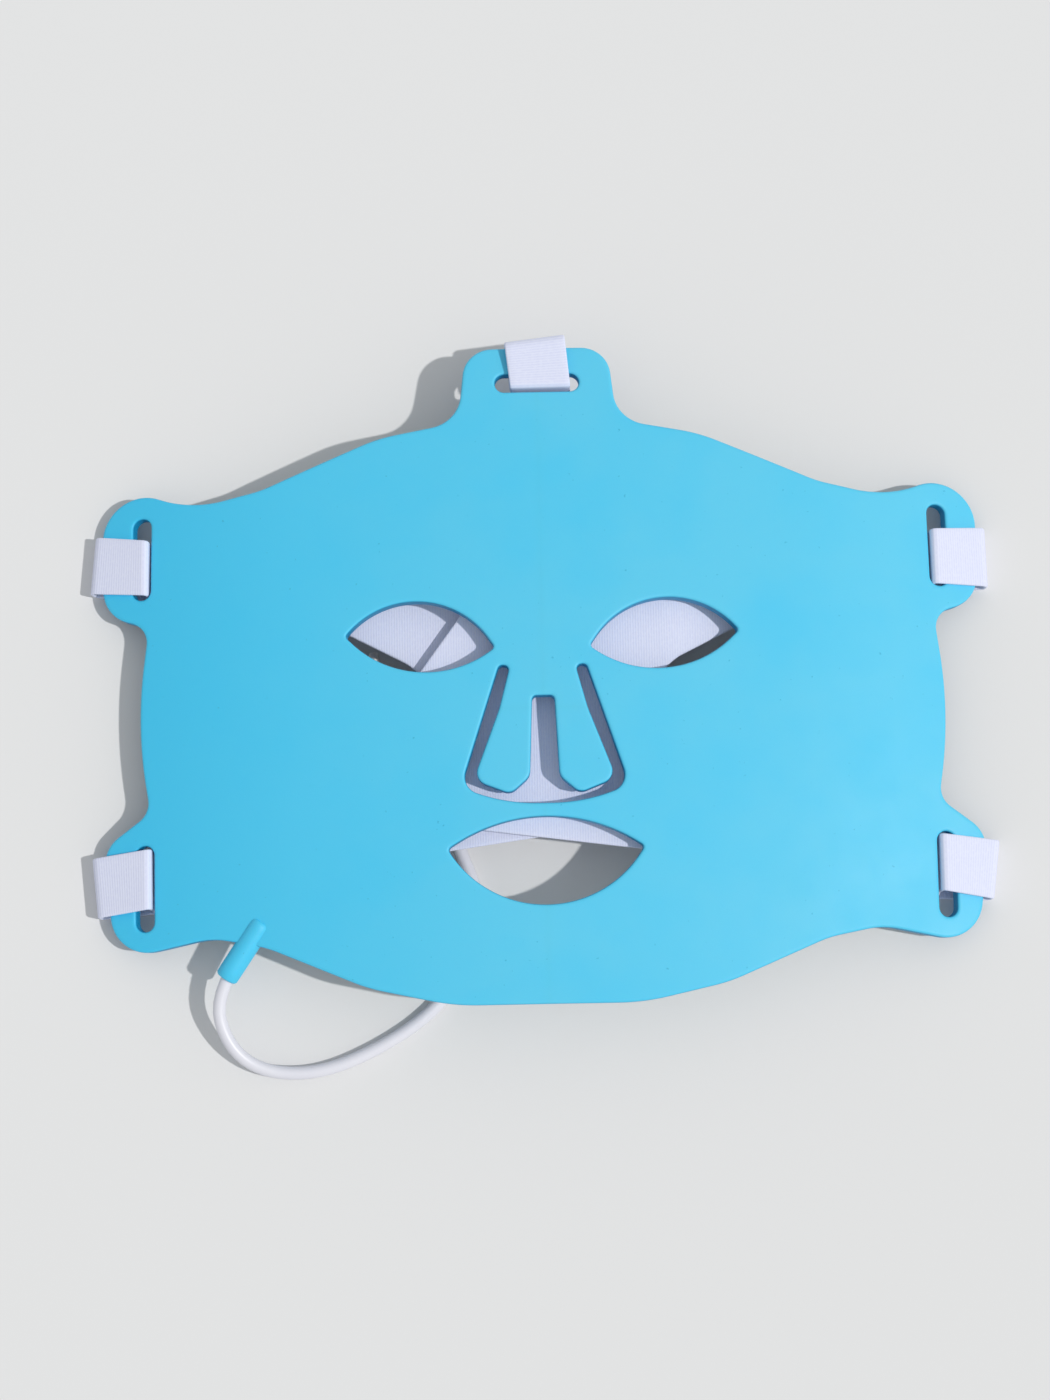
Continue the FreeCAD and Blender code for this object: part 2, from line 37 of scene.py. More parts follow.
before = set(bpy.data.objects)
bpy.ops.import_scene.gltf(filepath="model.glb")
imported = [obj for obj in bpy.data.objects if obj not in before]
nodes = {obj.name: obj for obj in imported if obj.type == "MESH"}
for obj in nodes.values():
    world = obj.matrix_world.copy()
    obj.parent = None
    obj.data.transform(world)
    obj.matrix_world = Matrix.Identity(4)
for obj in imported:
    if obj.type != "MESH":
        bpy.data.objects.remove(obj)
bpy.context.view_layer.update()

MM = 0.001

# Sheet: curved both ways, and tighter beyond the two side seams
CROWN_Z = 30.0
CROWN_Y = -18.5
BROW_RADIUS = 700.0
SIDE_RADIUS = 300.0
LENGTH_RADIUS = 1100.0
SEAM_X = 85.0
SKIN = 2.5
SHEET = 5.0
TAB = 4.2
TAB_EASE = 4.0             # how far the step from tab to sheet is spread
LIP = 1.5
REAR_PLAY = 0.05
REAR_START = 2.95          # depth where the rear skin starts, under the circuit
REAR_HALF_WIDTH = 131.0
REAR_TOP_Y = 93.0
FRONT_RIM = 0.9
BACK_RIM = 0.45
FILL_START = 0.8           # from the rim to where the even fill of triangles starts
FILL_STEP = 3.2
EDGE_STEP = 1.3

OUTLINE = [
    (25.0, 111.9, 10.4), (27.8, 84.8, 12.6), (56.2, 79.8, 60.0), (97.3, 62.7, 40.0),
    (122.2, 57.5, 40.0), (155.1, 71.1, 14.8), (153.9, 21.5, 13.0), (137.3, 15.7, 7.5),
    (141.6, -19.2, 150.0), (136.5, -49.4, 7.4), (153.5, -61.0, 10.9), (149.2, -99.9, 13.7),
    (114.8, -93.5, 30.0), (95.9, -97.4, 40.0), (61.3, -112.1, 60.0), (32.0, -118.6, 80.0),
]
EYE_INNER = (16.3, 3.5)
EYE_TILT = 5.75
EYE = [(0.0, 0.0, 1.3), (27.8, 33.5, 30.6), (51.9, 0.0, 1.3), (24.2, -21.9, 36.9)]
MOUTH = [(-33.6, -65.8, 1.4), (0.0, -45.2, 58.0), (33.6, -65.8, 1.4), (0.0, -114.6, 38.6)]
# Half of the slit round the two nose flaps
NOSE_SLIT = [
    (3.8, -13.6, 1.6), (5.0, -41.5, 5.0), (11.8, -47.4, 4.0), (24.4, -42.4, 4.5), (15.2, -18.0, 30.0),
    (11.2, -2.9, 1.7), (15.0, -2.8, 1.7), (28.8, -44.9, 6.0), (12.6, -50.6, 60.0),
]
FLAP = [
    (3.8, -13.6, 0.0), (5.0, -41.5, 5.0), (11.8, -47.4, 4.0), (24.4, -42.4, 4.5), (14.1, -13.6, 0.0),
]
FLAP_ROOT_Y = -17.85
SLOT_LENGTH = 29.5
SLOT_WIDTH = 6.6
SIDE_SLOTS = [(139.9, 40.7), (138.3, -75.6)]
TOP_SLOT_Y = 98.8
WELL_RADIUS = 3.25
WINDOW_RADIUS = 3.2
WINDOW_DOME = 0.35

# Boot
BOOT_TOP = (-97.5, -88.4)
BOOT_END = (-110.6, -107.2)
BOOT_RADIUS = 4.0

# Straps and back panels
WEBBING = 1.3
STRAP_WIDTH = 20.3
STRAP_Y = {"upper": 37.5, "lower": -73.0}
LOOP_SECTION = [(137.9, 13.5, 1.2), (157.0, 6.9, 2.6), (157.0, 0.65, 2.6), (136.9, 0.65, 0.7)]
LOOP_SHIFT = {"upper": (0.0, 0.0), "lower": (-1.5, 0.5)}
TOP_LOOP_SECTION = [(97.4, 24.7, 1.2), (114.3, 25.4, 2.6), (114.3, 16.4, 2.6), (96.6, 16.4, 0.7)]
ARM_START_X = 134.4
LEFT_BAND = [(160.0, 0.65, 0.0), (126.0, 0.65, 20.0), (80.0, 15.05, 20.0), (-110.0, 15.05, 0.0)]
RIGHT_BAND = [
    (160.0, 0.65, 0.0), (128.0, 0.65, 20.0), (90.0, 12.5, 30.0), (45.0, 20.15, 40.0), (-110.0, 20.15, 0.0),
]
TOP_STRAP_BAND = [(110.0, 21.02, 0.0), (47.0, 0.65, 20.0), (36.0, 0.65, 0.0)]
TOP_STRAP_START_Y = 95.65
TOP_STRAP_END_Y = 36.0
TOP_STRAP_CORNER = 3.0
LOOP_RISE = (1.5, 4.0)     # height where a loop's lower layer ends, and how far the change is spread
LEAST_CORNER = 2.2         # of a cut sheet, so that its rim can be rounded
CUT_FILL_START = 0.9       # from a cut sheet's rim to where the even fill of triangles starts
ARM_REACH = 1.8            # the arms run on under the loops by this much
CROTCH = [
    (ARM_START_X, -83.15, 0.0), (ARM_START_X, -62.85, 0.0), (75.0, -52.7, 30.0), (40.0, -44.7, 12.0),
    (37.0, -4.5, 20.0), (72.0, 13.8, 25.0), (ARM_START_X, 27.35, 0.0), (ARM_START_X, 47.65, 0.0),
    (60.0, 33.5, 60.0),
]
UPPER_END = [(-19.0, 29.1, 8.0), (-54.0, -19.1, 22.0), (-26.0, -58.0, 14.0), (34.8, -66.2, 200.0)]
LOWER_END = [(-24.0, 31.0, 16.0), (-24.0, -57.0, 14.0), (33.0, -64.9, 200.0)]

# Lead: corners of its route, out of the boot to the coil, then on to the plug
LEAD_RADIUS = 2.25
LEAD_ROUTE = [
    (-105.59, -100.51, 15.83), (-114.29, -113.08, 13.27), (-110.3, -129.4, 8.0), (-98.7, -138.6, 3.6),
    (-78.7, -139.3, 2.25), (-57.2, -130.5, 2.25), (-39.6, -118.8, 2.25), (-26.8, -102.1, 2.25),
    (-22.5, -81.0, 2.25), (-31.0, -60.0, 2.25), (-38.75, -36.0, 2.25),
]
TAIL_ROUTE = [
    (-10.0, -43.75, 6.75), (-19.5, -43.9, 7.6), (-31.5, -44.8, 8.6), (-45.3, -45.0, 8.6),
    (-52.7, -40.7, 6.4), (-56.73, -33.3, 4.0), (-57.2, -24.9, 4.0),
]
COIL_CENTRE = (-10.0, -15.0)
COIL_RADII = [28.75, 24.25, 19.75]
COIL_POINTS = 16           # on each turn
COIL_TURNS = (3.0, 2.75)   # in the lower layer, inward, and in the upper one, outward
COIL_RISE = 0.25           # share of a turn in which the lead climbs to the upper layer
PLUG_TIP = (-59.0, 7.0, 4.0)

# Top layers of the sewn loops, out and across: the fold's and the bar's high ends, then their low ends
LOOP_CORNERS = {
    ("upper", "left"): ((157.7, 50.2), (137.0, 46.9), (159.6, 29.7), (137.0, 27.2)),
    ("upper", "right"): ((157.3, 47.5), (137.3, 46.1), (157.6, 26.2), (137.6, 26.4)),
    ("lower", "left"): ((157.0, -64.2), (136.1, -61.9), (154.9, -84.9), (135.4, -82.7)),
    ("lower", "right"): ((156.1, -63.6), (136.7, -61.6), (153.3, -83.9), (135.2, -81.4)),
    ("top", "middle"): ((116.2, 10.0), (96.0, 11.9), (113.6, -11.2), (95.6, -9.2)),
}


# ---------------------------------------------------------------- flat outlines

def corner_loop(corners, closed=True, step=EDGE_STEP):
    """Evenly spaced points along the straight sides and tangent arcs of (x, y, radius) corners."""
    count = len(corners)
    marks = []
    for i, (x, y, radius) in enumerate(corners):
        here = Vector((x, y))
        if radius == 0:
            marks.append(here)
            continue
        back = (Vector(corners[i - 1][:2]) - here).normalized()
        ahead = (Vector(corners[(i + 1) % count][:2]) - here).normalized()
        half = back.angle(ahead) / 2
        centre = here + (back + ahead).normalized() * (radius / math.sin(half))
        reach = radius / math.tan(half)
        sweep = math.pi - 2 * half
        start = here + back * reach - centre
        end = here + ahead * reach - centre
        pieces = max(4, math.ceil(radius * sweep / step))
        for k in range(pieces + 1):
            turn = sweep * k / pieces
            spoke = (start * math.sin(sweep - turn) + end * math.sin(turn)) / math.sin(sweep)
            marks.append(centre + spoke)
    points = []
    for i, here in enumerate(marks):
        points.append(here)
        if not closed and i == len(marks) - 1:
            break
        following = marks[(i + 1) % len(marks)]
        parts = math.ceil((following - here).length / step - 1e-6)
        points += [here.lerp(following, k / parts) for k in range(1, parts)]
    loop = np.array([p[:] for p in points])
    keep = np.linalg.norm(np.roll(loop, -1, 0) - loop, axis=1) > 1e-4
    return loop[keep] if closed else loop


def mirrored(half):
    """A whole outline from its right half."""
    return half + [(-x, y, radius) for x, y, radius in reversed(half)]


def signed_area(loop):
    """Positive for a loop that runs anticlockwise."""
    ahead = np.roll(loop, -1, 0)
    return float((loop[:, 0] * ahead[:, 1] - loop[:, 1] * ahead[:, 0]).sum() / 2)


def outer(loop):
    """The loop with the sheet on its left, for an outside edge."""
    return loop if signed_area(loop) > 0 else loop[::-1]


def hole(loop):
    """The loop with the sheet on its left, for the edge of a hole."""
    return loop if signed_area(loop) < 0 else loop[::-1]


def inset(loop, distance):
    """A closed loop moved to its left, into the sheet."""
    ahead = np.roll(loop, -1, 0) - loop
    ahead /= np.linalg.norm(ahead, axis=1)[:, None]
    normal = np.stack([-ahead[:, 1], ahead[:, 0]], 1)
    middle = normal + np.roll(normal, 1, 0)
    middle /= np.linalg.norm(middle, axis=1)[:, None]
    return loop + middle * (distance / (middle * normal).sum(1))[:, None]


def clipped(loop, axis, limit):
    """The part of a closed loop on the low side of a limit along one axis."""
    points = []
    for here, following in zip(loop, np.roll(loop, -1, 0)):
        inside_here = here[axis] <= limit
        if inside_here:
            points.append(here)
        if inside_here != (following[axis] <= limit):
            share = (limit - here[axis]) / (following[axis] - here[axis])
            points.append(here + (following - here) * share)
    return np.array(points)


def even(loop, step=EDGE_STEP):
    """A closed loop with long sides divided, and very short ones dropped."""
    loop = loop[np.linalg.norm(np.roll(loop, -1, 0) - loop, axis=1) > step / 2]
    points = []
    for here, following in zip(loop, np.roll(loop, -1, 0)):
        parts = max(1, math.ceil(np.linalg.norm(following - here) / step - 1e-6))
        points += [here + (following - here) * k / parts for k in range(parts)]
    return np.array(points)


def slot_loop(x, y, length_x, length_y):
    """Round-ended slot."""
    radius = min(length_x, length_y) / 2 - 0.01
    a, b = length_x / 2, length_y / 2
    corners = [(x - a, y - b), (x + a, y - b), (x + a, y + b), (x - a, y + b)]
    return hole(corner_loop([(u, v, radius) for u, v in corners], step=0.8))


def eye_loop(side):
    """One eye opening: side is 1 on the right, -1 on the left."""
    tilt = math.radians(EYE_TILT)
    loop = corner_loop(EYE, step=1.0)
    turned = loop @ np.array([[math.cos(tilt), math.sin(tilt)], [-math.sin(tilt), math.cos(tilt)]])
    return hole((turned + np.array(EYE_INNER)) * np.array([side, 1.0]))


def inside(points, loop):
    """Which points lie inside a closed loop."""
    x, y = points[:, 0], points[:, 1]
    result = np.zeros(len(points), bool)
    for (x0, y0), (x1, y1) in zip(loop, np.roll(loop, -1, 0)):
        if y0 != y1:
            crosses = (y0 > y) != (y1 > y)
            result ^= crosses & (x < (x1 - x0) * (y - y0) / (y1 - y0) + x0)
    return result


def filled(loops, step=FILL_STEP):
    """Fills between loops, the first outside and the rest holes. Returns all points, and the triangles."""
    rim = np.concatenate(loops)
    starts = np.cumsum([0] + [len(loop) for loop in loops])
    edges = []
    for loop, start in zip(loops, starts):
        edges += [(start + i, start + (i + 1) % len(loop)) for i in range(len(loop))]
    low, high = rim.min(0), rim.max(0)
    rows = np.arange(low[1], high[1], step * math.sqrt(3) / 2)
    lattice = []
    for i, y in enumerate(rows):
        across = np.arange(low[0] + step * 0.5 * (i % 2), high[0], step)
        lattice.append(np.stack([across, np.full(len(across), y)], 1))
    lattice = np.concatenate(lattice)
    keep = inside(lattice, loops[0])
    for loop in loops[1:]:
        keep &= ~inside(lattice, loop)
    lattice = lattice[keep]
    tree = kdtree.KDTree(len(rim))
    for i, (x, y) in enumerate(rim):
        tree.insert((x, y, 0), i)
    tree.balance()
    clear = [tree.find((x, y, 0))[2] > 0.62 * step for x, y in lattice]
    points = np.concatenate([rim, lattice[np.array(clear, bool)]]) if len(lattice) else rim
    made = geometry.delaunay_2d_cdt([Vector(p) for p in points], edges, [], 0, 1e-6, True)
    source = [ids[0] for ids in made[3]]
    triangles = np.array([[source[i] for i in face] for face in made[2]])
    middles = points[triangles].mean(1)
    keep = inside(middles, loops[0])
    for loop in loops[1:]:
        keep &= ~inside(middles, loop)
    return points, triangles[keep]


# ---------------------------------------------------------------- flat solids, as x, y and depth

class Shell:
    """Points and faces of one solid while it is put together."""

    def __init__(self):
        self.points = []
        self.faces = []
        self.count = 0

    def add(self, flat, depth):
        """Adds points at a depth, and returns the number of the first."""
        start = self.count
        depths = np.broadcast_to(np.asarray(depth, float), (len(flat),))
        self.points.append(np.column_stack([flat, depths]))
        self.count += len(flat)
        return start

    def wall(self, start, following, count):
        """Quads between two closed rows of points."""
        for i in range(count):
            j = (i + 1) % count
            self.faces.append((start + i, start + j, following + j, following + i))

    def rows(self, loop, profile):
        """Closed rows of points, each at an inset and a depth. Returns where the first and last start."""
        starts = []
        for distance, depth in profile:
            flat = inset(loop, distance)
            starts.append(self.add(flat, depth(flat) if callable(depth) else depth))
        for a, b in zip(starts, starts[1:]):
            self.wall(a, b, len(loop))
        return starts[0], starts[-1]

    def cap(self, loops, starts, depth, turn, step=FILL_STEP):
        """Fills between rows that are there already."""
        points, triangles = filled(loops, step)
        rim = sum(len(loop) for loop in loops)
        extra = points[rim:]
        first = self.add(extra, depth(extra) if callable(depth) else depth) if len(extra) else self.count
        place = np.concatenate(
            [np.arange(start, start + len(loop)) for loop, start in zip(loops, starts)]
            + [np.arange(first, first + len(extra))])
        for a, b, c in place[triangles]:
            self.faces.append((a, c, b) if turn else (a, b, c))

    def array(self):
        """All points."""
        return np.concatenate(self.points)


def arc_rows(radius, count=4):
    """Insets and depths round a quarter circle, from the face to the wall."""
    rows = []
    for k in range(count + 1):
        turn = 0.5 * math.pi * k / count
        rows.append((radius * (1 - math.sin(turn)), radius * (1 - math.cos(turn))))
    return rows


def back_depth(flat):
    """Depth of the back of the front skin, which is less at the strap tabs."""
    past = np.maximum(np.abs(flat[:, 0]) - REAR_HALF_WIDTH, flat[:, 1] - REAR_TOP_Y)
    share = np.clip(past / TAB_EASE, 0, 1)
    return SHEET + (TAB - SHEET) * share * share * (3 - 2 * share)


def openings():
    """Edges of the eyes, mouth and nose slit."""
    return [eye_loop(1), eye_loop(-1), hole(corner_loop(MOUTH, step=1.0)),
            hole(corner_loop(mirrored(NOSE_SLIT), step=0.9))]


def slots():
    """Edges of the five strap slots."""
    found = [slot_loop(0, TOP_SLOT_Y, SLOT_LENGTH, SLOT_WIDTH)]
    for x, y in SIDE_SLOTS:
        found += [slot_loop(side * x, y, SLOT_WIDTH, SLOT_LENGTH) for side in (1, -1)]
    return found


def pocket_loops(play):
    """Edges of the hollow behind the front skin, which the rear skin fills."""
    edge = inset(outer(corner_loop(mirrored(OUTLINE))), LIP)
    edge = clipped(edge, 0, REAR_HALF_WIDTH)
    edge = clipped(edge * np.array([-1, 1]), 0, REAR_HALF_WIDTH)
    edge = outer(even(clipped(edge, 1, REAR_TOP_Y)))
    return [inset(edge, play)] + [inset(loop, LIP + play) for loop in openings()]


def front_shell():
    """The whole front skin, flat: rounded rims, and a pocket behind."""
    shell = Shell()
    loops = [outer(corner_loop(mirrored(OUTLINE)))] + openings() + slots()
    front = arc_rows(FRONT_RIM)
    profile = [(FRONT_RIM + FILL_START, 0.0)] + front
    for distance, depth in reversed(arc_rows(BACK_RIM, 3)):
        profile.append((distance, lambda flat, rise=depth: back_depth(flat) - rise))
    tops, backs = [], []
    for loop in loops:
        first, last = shell.rows(loop, profile)
        tops.append(first)
        backs.append(last)
    shell.cap([inset(loop, FRONT_RIM + FILL_START) for loop in loops], tops, 0.0, False)
    pocket = pocket_loops(0.0)
    mouths, floors = [], []
    for loop in pocket:
        mouth = shell.add(loop, SHEET)
        floor = shell.add(loop, SKIN)
        shell.wall(floor, mouth, len(loop))
        mouths.append(mouth)
        floors.append(floor)
    back_loops = [inset(loop, BACK_RIM) for loop in loops]
    shell.cap([back_loops[0], pocket[0]] + back_loops[5:],
              [backs[0], mouths[0]] + backs[5:], back_depth, True)
    for opening in range(1, 5):
        shell.cap([pocket[opening], back_loops[opening]],
                  [mouths[opening], backs[opening]], SHEET, True)
    shell.cap(pocket, floors, SKIN, True)
    return shell


def rear_shell(sites):
    """The whole rear skin, flat, with a round well over each light."""
    shell = Shell()
    loops = pocket_loops(REAR_PLAY)
    back = [(d, SHEET - rise) for d, rise in reversed(arc_rows(0.3, 3))]
    round_well = [(WELL_RADIUS * math.cos(a), WELL_RADIUS * math.sin(a))
                  for a in np.linspace(0, 2 * math.pi, 20, endpoint=False)]
    wells = [hole(np.array(round_well) + site) for site in sites]
    nears, backs = [], []
    for loop in loops + wells:
        first, last = shell.rows(loop, [(0.0, REAR_START)] + back)
        nears.append(first)
        backs.append(last)
    shell.cap(loops + wells, nears, REAR_START, False)
    shell.cap([inset(loop, 0.3) for loop in loops + wells], backs, SHEET, True)
    return shell


# ---------------------------------------------------------------- bending flat solids into place

def bent(flat):
    """Points given as x, y and depth, moved onto the doubly curved sheet."""
    x, y, depth = np.asarray(flat, float).T
    seam = math.asin(SEAM_X / BROW_RADIUS)
    side_x = SEAM_X - SIDE_RADIUS * math.sin(seam)
    side_z = CROWN_Z - BROW_RADIUS * (1 - math.cos(seam)) - SIDE_RADIUS * math.cos(seam)
    brow = np.arcsin(np.clip(x / BROW_RADIUS, -1, 1))
    side = np.arcsin(np.clip((np.abs(x) - side_x) / SIDE_RADIUS, -1, 1))
    middle = np.abs(x) <= SEAM_X
    lean = np.where(middle, brow, np.sign(x) * side)
    brow_z = CROWN_Z - BROW_RADIUS * (1 - np.cos(brow))
    profile = np.where(middle, brow_z, side_z + SIDE_RADIUS * np.cos(side))
    hub = CROWN_Z - LENGTH_RADIUS
    roll = np.arcsin((y - CROWN_Y) / (profile - hub))
    top = np.stack([x, y, hub + (profile - hub) * np.cos(roll)], 1)
    normal = np.stack([np.sin(lean), np.cos(lean) * np.sin(roll), np.cos(lean) * np.cos(roll)], 1)
    return top - normal * depth[:, None]


def mesh_from(name, points, faces):
    """A smooth shaded mesh."""
    mesh = bpy.data.meshes.new(name)
    mesh.from_pydata([tuple(p) for p in points], [], [tuple(int(i) for i in face) for face in faces])
    mesh.polygons.foreach_set("use_smooth", [True] * len(mesh.polygons))
    mesh.update()
    return mesh


def piece_from(name, mesh, material):
    """A new object with one material."""
    mesh.materials.append(material)
    made = bpy.data.objects.new(name, mesh)
    bpy.context.scene.collection.objects.link(made)
    return made


def cut_off(bm, origin, normal):
    """Cuts a flat solid with a plane, drops what is past it, and closes the cut."""
    everything = bm.verts[:] + bm.edges[:] + bm.faces[:]
    made = bmesh.ops.bisect_plane(bm, geom=everything, dist=1e-5, plane_co=origin, plane_no=normal,
                                  clear_outer=True)
    close_cut(bm, [e for e in made["geom_cut"] if isinstance(e, bmesh.types.BMEdge)])


def close_cut(bm, edges):
    """Closes the open edges left by a cut with flat, sharp-edged faces."""
    open_edges = [edge for edge in edges if edge.is_valid and edge.is_boundary]
    made = bmesh.ops.holes_fill(bm, edges=open_edges, sides=0)
    for edge in open_edges:
        edge.smooth = False
    for face in made["faces"]:
        face.smooth = False


def split_flaps(bm):
    """Cuts the nose flaps out of a flat half sheet. Returns them as a bmesh of their own."""
    zone = outer(corner_loop(FLAP))
    grown = inset(zone, -0.7)
    root = []
    for face in bm.faces:
        middle = face.calc_center_median()
        if 3.0 < abs(middle.x) < 18.3 and abs(middle.y - FLAP_ROOT_Y) < 6.0:
            root.append(face)
    geom = set(root)
    for face in root:
        geom.update(face.edges)
        geom.update(face.verts)
    made = bmesh.ops.bisect_plane(bm, geom=list(geom), dist=1e-5,
                                  plane_co=(0, FLAP_ROOT_Y, 0), plane_no=(0, 1, 0))
    cut = [e for e in made["geom_cut"] if isinstance(e, bmesh.types.BMEdge)]
    bm.faces.ensure_lookup_table()
    middles = np.array([face.calc_center_median()[:2] for face in bm.faces])
    middles[:, 0] = np.abs(middles[:, 0])
    chosen = inside(middles, grown) & (middles[:, 1] < FLAP_ROOT_Y)
    flap = bm.copy()
    flap.faces.ensure_lookup_table()
    cut_places = {edge_key(edge) for edge in cut}
    bmesh.ops.delete(flap, geom=[f for f, keep in zip(flap.faces[:], chosen) if not keep], context="FACES")
    bmesh.ops.delete(bm, geom=[f for f, keep in zip(bm.faces[:], chosen) if keep], context="FACES")
    for part in (bm, flap):
        close_cut(part, [edge for edge in part.edges if edge.is_boundary and edge_key(edge) in cut_places])
    return flap


def edge_key(edge):
    """Where an edge's middle is."""
    middle = (edge.verts[0].co + edge.verts[1].co) / 2
    return tuple(round(v, 3) for v in middle)


def bend_bmesh(bm, name, material):
    """Bends a flat solid onto the sheet and makes it a piece."""
    bmesh.ops.recalc_face_normals(bm, faces=bm.faces[:])
    flat = np.array([v.co[:] for v in bm.verts])
    for vert, place in zip(bm.verts, bent(flat) * MM):
        vert.co = place
    mesh = bpy.data.meshes.new(name)
    bm.to_mesh(mesh)
    bm.free()
    mesh.attributes.new("depth", "FLOAT", "POINT").data.foreach_set("value", flat[:, 2].astype(np.float32))
    return piece_from(name, mesh, material)


def sheet_pieces(shell, name, flap_name, material):
    """Two half sheets and two nose flaps from one flat solid, by side."""
    made = {}
    for side, sign in (("left", -1), ("right", 1)):
        mesh = mesh_from(name, shell.array(), shell.faces)
        bm = bmesh.new()
        bm.from_mesh(mesh)
        bpy.data.meshes.remove(mesh)
        bmesh.ops.recalc_face_normals(bm, faces=bm.faces[:])
        cut_off(bm, (0, 0, 0), (-sign, 0, 0))
        flap = split_flaps(bm)
        made[side] = (bend_bmesh(bm, f"{name}_{side}", material),
                      bend_bmesh(flap, f"{flap_name}_{side}", material))
    return made


# ---------------------------------------------------------------- materials

def material(name, colour, roughness):
    """A new node material. Returns it with its tree and shader."""
    made = bpy.data.materials.new(name)
    made.use_nodes = True
    shader = made.node_tree.nodes["Principled BSDF"]
    shader.inputs["Base Color"].default_value = (*colour, 1)
    shader.inputs["Roughness"].default_value = roughness
    return made, made.node_tree, shader


def node(tree, kind, **values):
    """Adds a node, with values for its inputs or properties."""
    made = tree.nodes.new(kind)
    for key, value in values.items():
        if key in made.inputs:
            made.inputs[key].default_value = value
        else:
            setattr(made, key, value)
    return made


def noise(tree, scale, detail=3.0):
    """Noise in the piece's own coordinates."""
    place = node(tree, "ShaderNodeTexCoord")
    made = node(tree, "ShaderNodeTexNoise", Scale=scale, Detail=detail)
    tree.links.new(place.outputs["Object"], made.inputs["Vector"])
    return made.outputs["Fac"]


def ramp(tree, value, low, high):
    """Value rescaled so that low becomes 0 and high becomes 1."""
    made = node(tree, "ShaderNodeMapRange")
    made.inputs["From Min"].default_value = low
    made.inputs["From Max"].default_value = high
    tree.links.new(value, made.inputs["Value"])
    return made.outputs["Result"]


def mixed(tree, share, first, second):
    """Mix of two colours, each a tuple or an output."""
    made = node(tree, "ShaderNodeMix", data_type="RGBA")
    for socket, value in ((made.inputs[6], first), (made.inputs[7], second)):
        if isinstance(value, tuple):
            socket.default_value = (*value, 1)
        else:
            tree.links.new(value, socket)
    tree.links.new(share, made.inputs[0])
    return made.outputs[2]


def bump(tree, shader, height, strength, distance):
    """Bump on a shader."""
    made = node(tree, "ShaderNodeBump", Strength=strength, Distance=distance)
    tree.links.new(height, made.inputs["Height"])
    tree.links.new(made.outputs["Normal"], shader.inputs["Normal"])


def silicone(name, colour, shade, speck, edge, roughness=0.5):
    """Matte moulded silicone: faint blotches, lint specks and a fine grain. Painted shade makes the left side
    darker and more saturated, and painted shade colours the sides of the sheet deeper at its edges and
    openings.
    """
    made, tree, shader = material(name, colour, roughness)
    place = node(tree, "ShaderNodeSeparateXYZ")
    tree.links.new(node(tree, "ShaderNodeTexCoord").outputs["Object"], place.inputs[0])
    # Painted shade: the left side, turned from the sun, takes the shade colour, fading to the plain colour at
    # the middle.
    painted_side_shade = mixed(tree, ramp(tree, place.outputs["X"], -0.14, 0.0), shade, colour)
    blotch = mixed(tree, ramp(tree, noise(tree, 22.0), 0.45, 0.95), painted_side_shade, shade)
    specks = ramp(tree, noise(tree, 620.0, 1.0), 0.76, 0.83)
    # Painted shade: the sides of the sheet, between its front rim and its back, take the deeper edge colour.
    # This stands in for the shade inside the openings.
    depth = node(tree, "ShaderNodeAttribute", attribute_name="depth").outputs["Fac"]
    painted_wall_shade = node(tree, "ShaderNodeMath", operation="MULTIPLY")
    tree.links.new(ramp(tree, depth, 0.25, 0.85), painted_wall_shade.inputs[0])
    tree.links.new(ramp(tree, depth, 4.95, 4.7), painted_wall_shade.inputs[1])
    final = mixed(tree, painted_wall_shade.outputs[0], mixed(tree, specks, blotch, speck), edge)
    tree.links.new(final, shader.inputs["Base Color"])
    rough = ramp(tree, noise(tree, 60.0), 0.2, 0.8)
    span = node(tree, "ShaderNodeMapRange")
    span.inputs["To Min"].default_value = roughness - 0.06
    span.inputs["To Max"].default_value = roughness + 0.08
    tree.links.new(rough, span.inputs["Value"])
    tree.links.new(span.outputs["Result"], shader.inputs["Roughness"])
    bump(tree, shader, noise(tree, 1900.0, 2.0), 0.10, 0.0002)
    shader.inputs["Subsurface Weight"].default_value = 0.12
    shader.inputs["Subsurface Radius"].default_value = (0.3, 0.8, 1.0)
    shader.inputs["Subsurface Scale"].default_value = 0.002
    shader.inputs["Specular IOR Level"].default_value = 0.45
    return made


# Second colour: painted shade on the left side, also the colour of the real blotches. Fourth colour: painted
# shade on the sides of the sheet at its edges and openings.
BLUE = silicone("blue_silicone", (0.105, 0.61, 0.87), (0.055, 0.585, 0.90), (0.05, 0.47, 0.72),
                (0.0, 0.27, 0.52))
MILKY = silicone("milky_silicone", (0.62, 0.78, 0.86), (0.58, 0.75, 0.84), (0.5, 0.66, 0.76),
                 (0.10, 0.45, 0.66), 0.45)


